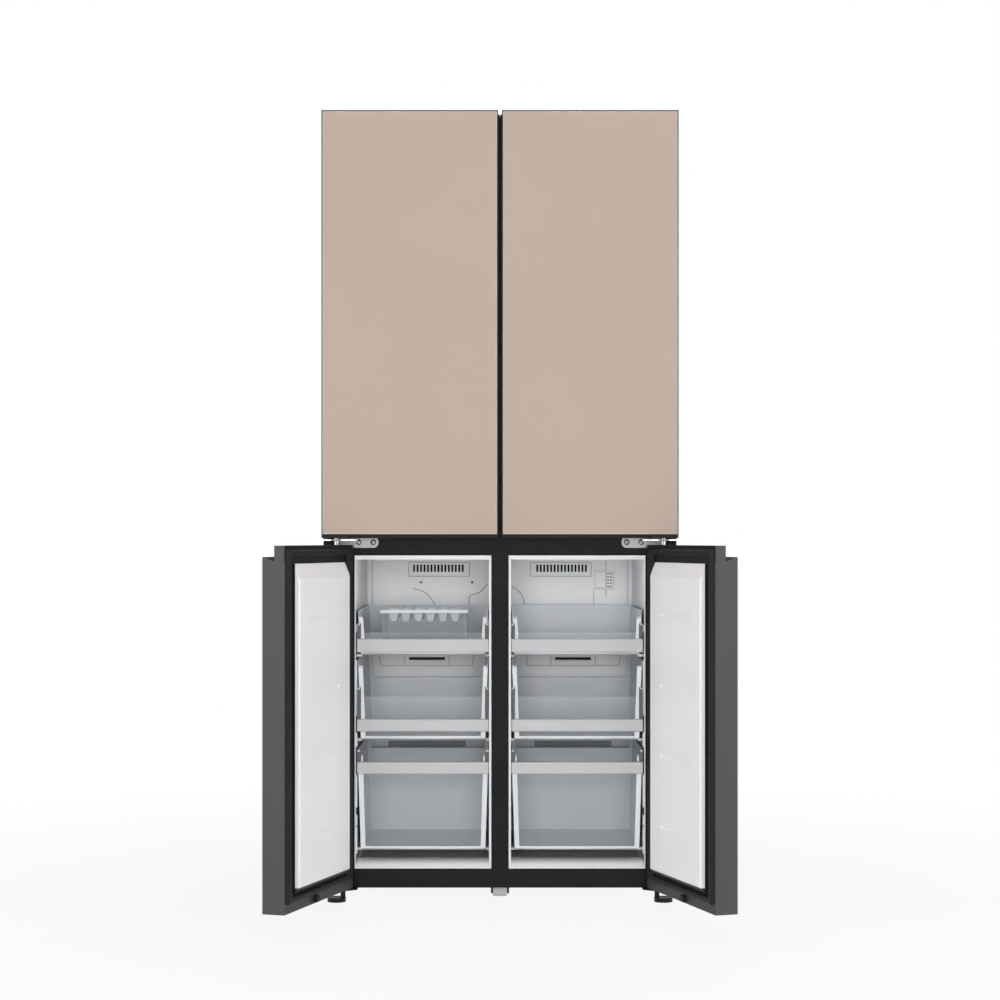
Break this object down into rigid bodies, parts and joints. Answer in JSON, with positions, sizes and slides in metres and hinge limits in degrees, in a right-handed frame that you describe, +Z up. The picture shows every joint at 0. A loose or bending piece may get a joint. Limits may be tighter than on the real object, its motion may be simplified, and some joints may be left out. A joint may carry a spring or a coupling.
{
  "type": "four-door refrigerator",
  "caption": "Free-standing refrigerator with hinged upper doors over hinged freezer doors that stand open on sliding drawers.",
  "frame": {"origin": "on the floor, under the middle of the object's box with the lower doors open", "axes": "+Z up, the doors face -Y, +X to the right as seen from the front"},
  "size_m": [1.0382, 1.0865, 1.863],
  "materials": {
    "cream_glass": "gloss",
    "taupe_glass": "gloss",
    "taupe_plastic": "satin",
    "white_plastic": "satin",
    "black_plastic": "satin",
    "seal_rubber": "matte",
    "case_steel": "satin",
    "rear_steel": "satin",
    "zinc_steel": "satin",
    "foam": "matte",
    "frosted_plastic": "gloss",
    "rail_plastic": "satin",
    "clear_glass": "gloss",
    "fin_aluminium": "satin",
    "pump_paint": "satin",
    "grey_plastic": "satin"
  },
  "bodies": {
    "cabinet": {"outer_case": "case_steel", "back_panel": "rear_steel", "wall_insulation": "foam", "fridge_liner": "white_plastic", "freezer_liners": "white_plastic", "front_frame": "black_plastic", "base_pan": "zinc_steel", "machine_cover": "rear_steel", "top_cover": "black_plastic", "top_hinges": "zinc_steel", "middle_hinges": "zinc_steel", "bottom_hinges": "black_plastic", "freezer_back_covers": "white_plastic", "evaporators": "fin_aluminium", "shelf_frames": "white_plastic", "shelf_glass_plates": "clear_glass", "crispers": "frosted_plastic", "air_tower": "white_plastic", "compressor": "pump_paint", "condenser": "fin_aluminium", "fan_motor": "grey_plastic", "levelling_feet": "black_plastic", "roller_brackets": "zinc_steel"},
    "left_upper_door": {"left_upper_frame": "taupe_plastic", "left_upper_panel": "cream_glass", "left_upper_liner": "white_plastic", "left_upper_gasket": "seal_rubber", "left_upper_bins": "frosted_plastic"},
    "left_lower_door": {"left_lower_frame": "taupe_plastic", "left_lower_panel": "taupe_glass", "left_lower_liner": "white_plastic", "left_lower_gasket": "seal_rubber"},
    "right_upper_door": {"right_upper_frame": "taupe_plastic", "right_upper_panel": "cream_glass", "right_upper_liner": "white_plastic", "right_upper_gasket": "seal_rubber", "right_upper_bins": "frosted_plastic"},
    "right_lower_door": {"right_lower_frame": "taupe_plastic", "right_lower_panel": "taupe_glass", "right_lower_liner": "white_plastic", "right_lower_gasket": "seal_rubber"},
    "door_mullion": {"door_mullion": "grey_plastic"},
    "left_drawer_upper": {"left_drawer_upper_bin": "frosted_plastic", "left_drawer_upper_rail": "rail_plastic", "left_ice_box": "clear_glass"},
    "left_drawer_middle": {"left_drawer_middle_bin": "frosted_plastic", "left_drawer_middle_rail": "rail_plastic"},
    "left_drawer_lower": {"left_drawer_lower_bin": "frosted_plastic", "left_drawer_lower_rail": "rail_plastic"},
    "right_drawer_upper": {"right_drawer_upper_bin": "frosted_plastic", "right_drawer_upper_rail": "rail_plastic"},
    "right_drawer_middle": {"right_drawer_middle_bin": "frosted_plastic", "right_drawer_middle_rail": "rail_plastic"},
    "right_drawer_lower": {"right_drawer_lower_bin": "frosted_plastic", "right_drawer_lower_rail": "rail_plastic"},
    "centre_roller": {"centre_roller": "rail_plastic"},
    "rear_rollers": {"rear_rollers": "black_plastic"},
    "condenser_fan": {"condenser_fan": "grey_plastic"},
    "left_evaporator_fan": {"left_evaporator_fan": "grey_plastic"},
    "right_evaporator_fan": {"right_evaporator_fan": "grey_plastic"}
  },
  "joints": [
    {"name": "left_upper_door_hinge", "type": "hinge", "parent": "cabinet", "child": "left_upper_door", "pos_m": [-0.3835, -0.1728, 0.9], "axis": [0, 0, -1], "range_deg": [0, 115]},
    {"name": "left_lower_door_hinge", "type": "hinge", "parent": "cabinet", "child": "left_lower_door", "pos_m": [-0.3835, -0.1728, 0.4], "axis": [0, 0, -1], "range_deg": [-108, 12]},
    {"name": "right_upper_door_hinge", "type": "hinge", "parent": "cabinet", "child": "right_upper_door", "pos_m": [0.3835, -0.1728, 0.9], "axis": [0, 0, 1], "range_deg": [0, 115]},
    {"name": "right_lower_door_hinge", "type": "hinge", "parent": "cabinet", "child": "right_lower_door", "pos_m": [0.3835, -0.1728, 0.4], "axis": [0, 0, 1], "range_deg": [-108, 12]},
    {"name": "mullion_fold", "type": "hinge", "parent": "left_upper_door", "child": "door_mullion", "pos_m": [-0.028, -0.1178, 1.345], "axis": [0, 0, 1], "range_deg": [-90, 0]},
    {"name": "left_upper_drawer_slide", "type": "slide", "parent": "cabinet", "child": "left_drawer_upper", "axis": [0, -1, 0], "range_m": [0, 0.3]},
    {"name": "left_middle_drawer_slide", "type": "slide", "parent": "cabinet", "child": "left_drawer_middle", "axis": [0, -1, 0], "range_m": [0, 0.3]},
    {"name": "left_lower_drawer_slide", "type": "slide", "parent": "cabinet", "child": "left_drawer_lower", "axis": [0, -1, 0], "range_m": [0, 0.25]},
    {"name": "right_upper_drawer_slide", "type": "slide", "parent": "cabinet", "child": "right_drawer_upper", "axis": [0, -1, 0], "range_m": [0, 0.3]},
    {"name": "right_middle_drawer_slide", "type": "slide", "parent": "cabinet", "child": "right_drawer_middle", "axis": [0, -1, 0], "range_m": [0, 0.3]},
    {"name": "right_lower_drawer_slide", "type": "slide", "parent": "cabinet", "child": "right_drawer_lower", "axis": [0, -1, 0], "range_m": [0, 0.25]},
    {"name": "centre_roller_spin", "type": "hinge", "parent": "cabinet", "child": "centre_roller", "pos_m": [0, -0.0268, 0.016], "axis": [1, 0, 0], "continuous": true},
    {"name": "rear_rollers_spin", "type": "hinge", "parent": "cabinet", "child": "rear_rollers", "pos_m": [0, 0.4812, 0.016], "axis": [1, 0, 0], "continuous": true},
    {"name": "condenser_fan_spin", "type": "hinge", "parent": "cabinet", "child": "condenser_fan", "pos_m": [-0.051, 0.4352, 0.1075], "axis": [1, 0, 0], "continuous": true},
    {"name": "left_evaporator_fan_spin", "type": "hinge", "parent": "cabinet", "child": "left_evaporator_fan", "pos_m": [-0.16025, 0.3902, 0.69], "axis": [0, 1, 0], "continuous": true},
    {"name": "right_evaporator_fan_spin", "type": "hinge", "parent": "cabinet", "child": "right_evaporator_fan", "pos_m": [0.16025, 0.3902, 0.69], "axis": [0, 1, 0], "continuous": true}
  ]
}
